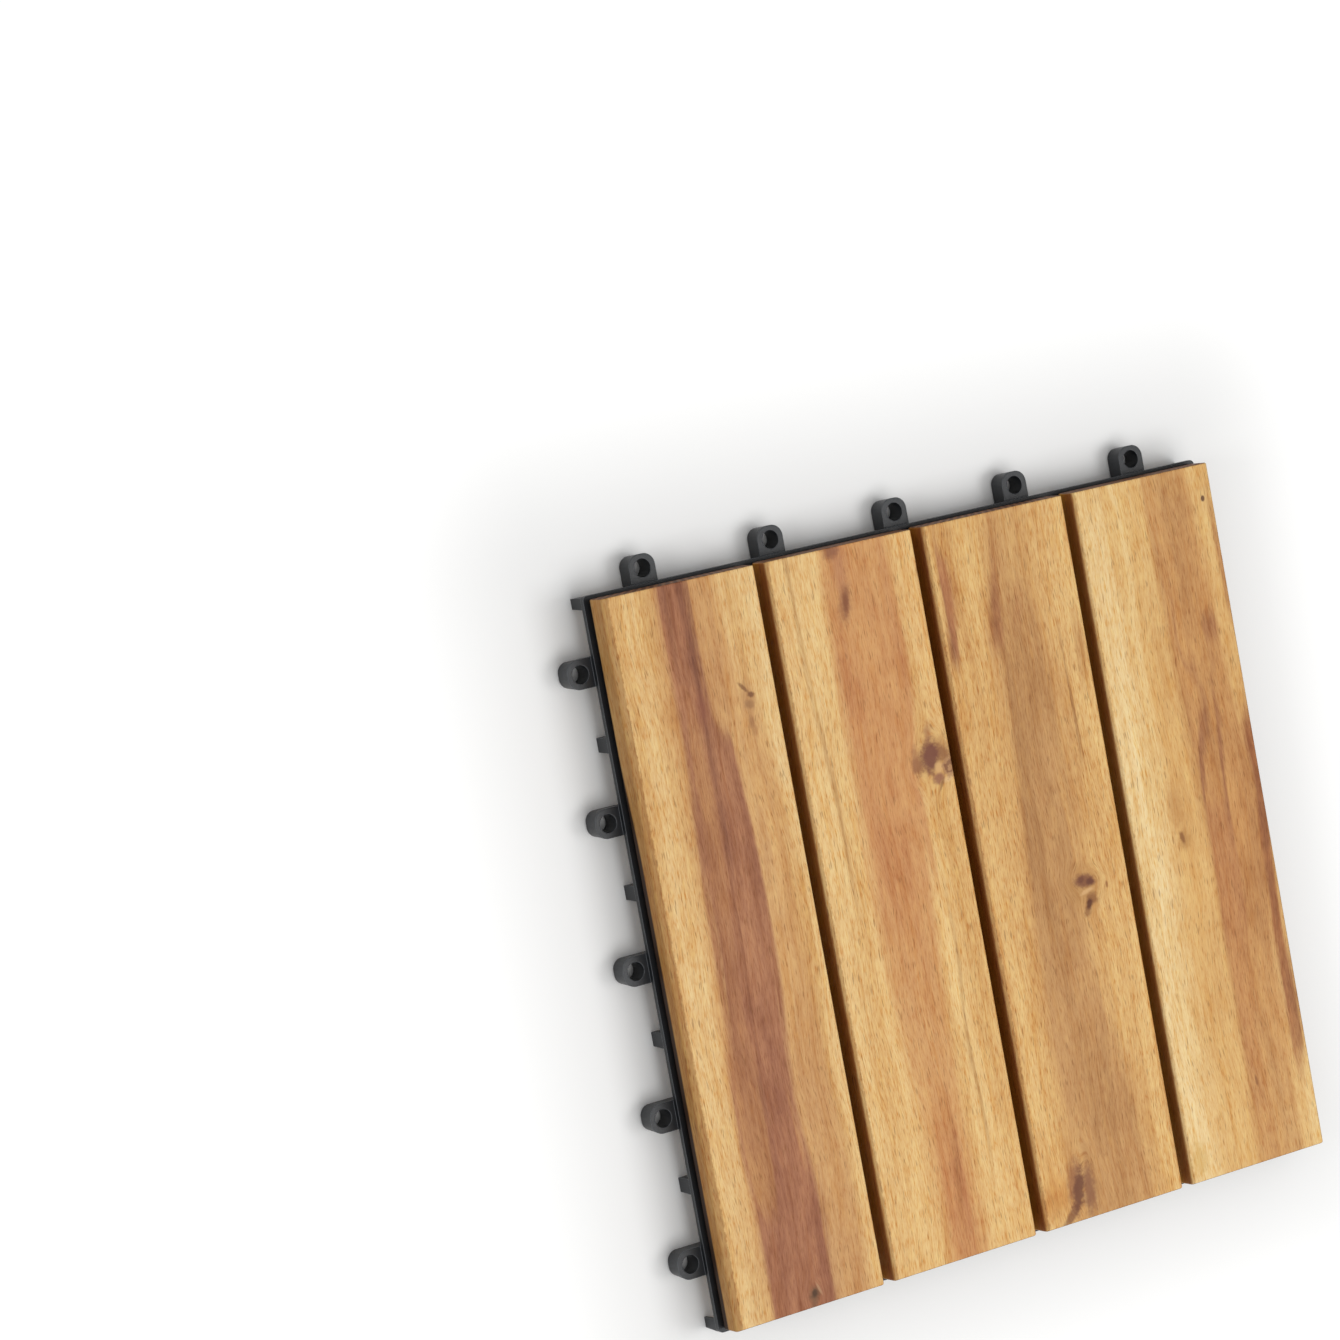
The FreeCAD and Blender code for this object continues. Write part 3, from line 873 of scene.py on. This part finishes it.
                    (84, 20.4, 21.8, 0.55),
                    (104, 20.8, 22.0, 0.0),
                ],
                1.6,
                1.6,
                "#A87440",
                "#946236",
            ),
        ],
        "spots": [
            (12.4, -12.5, 8.5, 8.5, 0, 0.6, 0, "#B28048", 0.55),
            (13.2, -10.6, 5.0, 2.7, -12, 0.45, 4.0, "#7E4D34", 0.9),
            (15.8, -11.4, 1.9, 1.4, -15, 0.5, 0, "#653828", 0.8),
            (11.4, -9.8, 1.6, 1.3, 0, 0.5, 0, "#6C3E2C", 0.7),
            (13.6, -15.0, 3.2, 0.9, 14, 0.5, 0, "#DCB07A", 0.7),
            (15.4, -18.6, 2.5, 2.7, 20, 0.5, 0, "#8C5A32", 0.85),
            (12.2, -23.2, 1.5, 2.8, -25, 0.6, 0, "#86542C", 0.75),
            (13.6, -20.6, 1.4, 2.1, -28, 0.5, 2.0, "#5A2F1A", 0.9),
            (23.8, -14.3, 0.6, 1.3, 0, 0.5, 0, "#925C30", 0.8),
            (-21.6, -145.2, 1.9, 6.0, -48, 0.5, 0, "#805032", 0.8),
            (-17.4, -131.5, 3.2, 9.0, -14, 0.6, 0, "#946040", 0.75),
            (-11.0, -137.0, 2.8, 10.0, -4, 0.6, 3.0, "#8A5A3E", 0.85),
            (-16.3, -135.8, 2.7, 8.6, -15, 0.45, 3.0, "#70432E", 0.9),
        ],
        "eyes": [],
        "torn and shaded edges": [(-1, 2.0, 1.0)],
    },
    {
        "pith": (66, -40),
        "sapwood": ("#DBAF70", "#E3BD80", "#EACA92"),
        "pale": [
            (
                [
                    (-148, -38, -20, 0.7),
                    (-60, -38, -19, 0.8),
                    (0, -38, -18, 0.85),
                    (60, -38, -19, 0.7),
                    (148, -38, -22, 0.5),
                ],
                4,
                10,
                "#EFD3A0",
                "#E2BE84",
            ),
        ],
        "bands": [
            (
                [
                    (-148, -22, 30, 0.5),
                    (-60, -20, 38, 0.7),
                    (0, -16, 40, 0.8),
                    (70, -14, 40, 0.75),
                    (110, -12, 34, 0.5),
                    (148, -10, 34, 0.35),
                ],
                14,
                6,
                "#DAAB6A",
                "#CE9C5E",
            ),
            (
                [
                    (-148, 0, 25, 0.6),
                    (-101, 1, 27, 0.75),
                    (-56, 1.5, 28, 0.85),
                    (-12, 2.5, 32, 0.95),
                    (32, 1.5, 30, 0.9),
                    (65, 1, 27, 0.85),
                    (97, 0.5, 26.5, 0.85),
                    (132, -1, 25, 0.8),
                    (148, -1, 24, 0.6),
                ],
                4,
                6,
                "#C68F57",
                "#B47E4C",
            ),
            (
                [
                    (-148, 3, 12, 0.25),
                    (-112, 3, 11, 0.5),
                    (-60, 3, 13, 0.5),
                    (-40, 3, 16, 0.75),
                    (-10, 4, 17, 0.75),
                    (4, 5, 16, 0.6),
                    (14, 5, 16, 0.0),
                ],
                4,
                5,
                "#B97F50",
                "#A86F45",
            ),
            (
                [
                    (-20, 13, 16, 0.0),
                    (0, 14, 16.6, 0.7),
                    (20, 15.6, 18.6, 0.9),
                    (40, 17.6, 20.4, 0.8),
                    (58, 18.6, 21.0, 0.5),
                    (70, 20, 25, 0.3),
                    (82, 18.5, 26, 0.75),
                    (90, 20, 25, 0.0),
                ],
                2.6,
                3,
                "#A06943",
                "#8C5636",
            ),
            (
                [
                    (4, 2.6, 5, 0.0),
                    (12, 3.6, 7.4, 0.75),
                    (30, 7.4, 11, 0.85),
                    (45, 10.8, 13.6, 0.7),
                    (58, 10.6, 13, 0.4),
                    (74, 6, 8, 0.5),
                    (96, 6, 8.4, 0.3),
                    (110, 6, 8, 0.0),
                ],
                2.6,
                3,
                "#A26B46",
                "#905C3C",
            ),
            (
                [
                    (-125, 28.5, 31, 0.0),
                    (-104, 28, 33, 0.75),
                    (-60, 28.6, 33.4, 0.9),
                    (-20, 29.6, 34.4, 0.9),
                    (10, 30.6, 36.5, 0.9),
                    (36, 30, 37, 0.85),
                    (50, 32, 37, 0.1),
                    (76, 33, 36, 0.1),
                    (90, 31.5, 35, 0.5),
                    (124, 31, 34.4, 0.55),
                    (142, 31, 34, 0.0),
                ],
                2,
                3,
                "#AE6E42",
                "#8E5533",
            ),
        ],
        "spots": [
            (29.9, 134, 1.0, 1.2, 0, 0.4, 0, "#5C3826", 0.9),
            (6.2, -113.6, 0.7, 2.4, 6, 0.5, 0, "#8A5832", 0.7),
            (-29, -139, 3.4, 7.0, 0, 0.7, 0, "#CFA254", 0.6),
            (-10.5, 9.0, 3.4, 9.0, 4, 0.7, 0.8, "#BC854A", 0.6),
            (-9.0, -5.0, 3.0, 4.0, 0, 0.6, 0, "#B07C42", 0.6),
            (-9.9, -4.0, 1.0, 2.6, 15, 0.5, 0, "#8A582C", 0.85),
        ],
        "eyes": [],
        "torn and shaded edges": [(-1, 1.8, 0.8), (1, 1.0, 0.6)],
    },
]


def polypropylene():
    """Polypropylene, injection moulded in a fine-eroded tool: charcoal black, even and half matt."""
    material, tree, shader = new_material("polypropylene_moulded_black")
    coords = add(tree, "ShaderNodeTexCoord").outputs["Object"]
    # the tool's grain is about 0.35 mm across
    grain = add(
        tree, "ShaderNodeTexNoise", {"Vector": coords, "Scale": 2800.0, "Detail": 2.0, "Roughness": 0.5}
    ).outputs[0]
    # and its tone drifts a little over 17 mm
    cloud = add(
        tree, "ShaderNodeTexNoise", {"Vector": coords, "Scale": 60.0, "Detail": 2.0, "Roughness": 0.5}
    ).outputs[0]
    tone = add(tree, "ShaderNodeValToRGB", {"Fac": cloud})
    stops(tone, [(0.35, linear("#121519")), (0.65, linear("#191D22"))])
    # a moulded edge is never sharp: 0.5 mm of rounding bends the shading normal, and the rounding gets a
    # painted highlight, a paler colour than the faces
    rounding = add(tree, "ShaderNodeBevel", {"Radius": 0.0005}, samples=12).outputs[0]
    face = add(tree, "ShaderNodeNewGeometry").outputs["Normal"]
    bend = add(tree, "ShaderNodeVectorMath", {0: rounding, 1: face}, operation="DOT_PRODUCT").outputs["Value"]
    painted_highlight_edge = add(
        tree,
        "ShaderNodeMapRange",
        {"Value": bend, "From Min": 0.96, "From Max": 0.80, "To Max": 0.8},
        interpolation_type="SMOOTHSTEP",
    ).outputs[0]
    # painted highlight: the rounded edges take a paler grey than the faces
    colour = add(
        tree,
        "ShaderNodeMix",
        {0: painted_highlight_edge, 6: tone.outputs[0], 7: linear("#7A7E83")},
        data_type="RGBA",
    ).outputs[2]
    tree.links.new(colour, shader.inputs["Base Color"])
    gloss = add(
        tree,
        "ShaderNodeMapRange",
        {"Value": grain, "From Min": 0.3, "From Max": 0.7, "To Min": 0.34, "To Max": 0.44},
    ).outputs[0]
    tree.links.new(gloss, shader.inputs["Roughness"])
    shader.inputs["IOR"].default_value = 1.49
    shader.inputs["Specular IOR Level"].default_value = 0.45
    bump = add(
        tree,
        "ShaderNodeBump",
        {"Height": grain, "Strength": 0.25, "Distance": 0.00008, "Normal": rounding},
    ).outputs[0]
    tree.links.new(bump, shader.inputs["Normal"])
    return material


def stainless_steel():
    """Stainless steel screws, cold headed: pale grey metal with a soft, slightly uneven shine."""
    material, tree, shader = new_material("stainless_steel_cold_headed")
    shader.inputs["Metallic"].default_value = 1.0
    shader.inputs["Base Color"].default_value = linear("#BDB9B2")
    coords = add(tree, "ShaderNodeTexCoord").outputs["Object"]
    # smears about 1 mm across, left by the dies
    smear = add(
        tree, "ShaderNodeTexNoise", {"Vector": coords, "Scale": 900.0, "Detail": 3.0, "Roughness": 0.6}
    ).outputs[0]
    gloss = add(
        tree,
        "ShaderNodeMapRange",
        {"Value": smear, "From Min": 0.3, "From Max": 0.7, "To Min": 0.26, "To Max": 0.42},
    ).outputs[0]
    tree.links.new(gloss, shader.inputs["Roughness"])
    return material


def studio_floor_matt():
    """Matt white floor. Away from the tile it shows a little paler than the light alone makes it.

    The lift is for what the camera sees straight, mirrored or through something, so it lights nothing. Near
    the tile it fades out, and the floor keeps the shadow.
    """
    material, tree, shader = new_material("studio_floor_matt")
    shader.inputs["Base Color"].default_value = linear("#F6F6F5")
    shader.inputs["Roughness"].default_value = 0.9
    rays = add(tree, "ShaderNodeLightPath").outputs
    seen = rays["Is Camera Ray"]
    for other in ("Is Glossy Ray", "Is Transmission Ray"):
        seen = add(tree, "ShaderNodeMath", {0: seen, 1: rays[other]}, operation="MAXIMUM").outputs[0]
    strength = add(tree, "ShaderNodeMath", {0: seen, 1: FLOOR_LIFT}, operation="MULTIPLY").outputs[0]
    place = add(tree, "ShaderNodeTexCoord").outputs["Object"]
    for operation, amount in (
        ("ABSOLUTE", (0, 0, 0)),
        ("SUBTRACT", (SHADOW_REACH, SHADOW_REACH, 0)),
        ("MAXIMUM", (0, 0, 0)),
    ):
        place = add(tree, "ShaderNodeVectorMath", {0: place, 1: amount}, operation=operation).outputs[0]
    away = add(tree, "ShaderNodeVectorMath", {0: place}, operation="LENGTH").outputs["Value"]
    lift = add(
        tree,
        "ShaderNodeMapRange",
        {"Value": away, "From Max": LIFT_FADE, "To Max": strength},
        interpolation_type="SMOOTHSTEP",
    ).outputs[0]
    shader.inputs["Emission Color"].default_value = (1, 1, 1, 1)
    tree.links.new(lift, shader.inputs["Emission Strength"])
    return material


def dress(node, material):
    """Gives a CAD node its material in place of the plain one."""
    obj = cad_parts[node]
    obj.data.materials.clear()
    obj.data.materials.append(material)


for number, slat in enumerate(SLATS, start=1):
    dress(f"slat_{number}", acacia(number, slat))
dress("base_grid", polypropylene())
dress("slat_screws", stainless_steel())

floor_mesh = bpy.data.meshes.new("floor")
floor_corners = [(FLOOR_REACH * x, FLOOR_REACH * y, 0) for x, y in ((-1, -1), (1, -1), (1, 1), (-1, 1))]
floor_mesh.from_pydata(floor_corners, [], [(0, 1, 2, 3)])
floor_mesh.materials.append(studio_floor_matt())
floor = bpy.data.objects.new("floor", floor_mesh)
bpy.context.scene.collection.objects.link(floor)

world = bpy.data.worlds.new("studio")
bpy.context.scene.world = world
world.use_nodes = True
world.node_tree.nodes["Background"].inputs["Color"].default_value = (1, 1, 1, 1)
world.node_tree.nodes["Background"].inputs["Strength"].default_value = SKY_LEVEL

# a soft box overhead, one across from the camera whose reflection on level plastic runs to it, and a low one
# that the rounded edges catch: name, place, size in metres, power in watts
for name, place, size, power in (
    ("softbox_top", (0.0, -0.55, 1.7), 1.1, 10.0),
    ("softbox_far", (0.92, -0.2, 1.6), 0.8, 9.0),
    ("softbox_low", (-1.5, 0.15, 0.8), 0.5, 3.6),
):
    lamp_data = bpy.data.lights.new(name, "AREA")
    lamp_data.shape = "SQUARE"
    lamp_data.size = size
    lamp_data.energy = power
    lamp = bpy.data.objects.new(name, lamp_data)
    bpy.context.scene.collection.objects.link(lamp)
    lamp.location = place
    lamp.rotation_euler = (-lamp.location).to_track_quat("-Z", "Y").to_euler()

# the photograph's camera, fitted to the corners of the four slats
camera_data = bpy.data.cameras.new("camera")
camera_data.sensor_width = SENSOR_MM
camera_data.lens = LENS_MM
camera_data.clip_start, camera_data.clip_end = 0.05, 20
camera = bpy.data.objects.new("camera", camera_data)
bpy.context.scene.collection.objects.link(camera)
bpy.context.scene.camera = camera
look = CAMERA_LOOK.normalized()
up = CAMERA_UP.normalized()
turn = Matrix((look.cross(up), up, -look)).transposed()
camera.matrix_world = Matrix.Translation(CAMERA_PLACE) @ turn.to_4x4()

bpy.context.scene.view_settings.view_transform = "Standard"
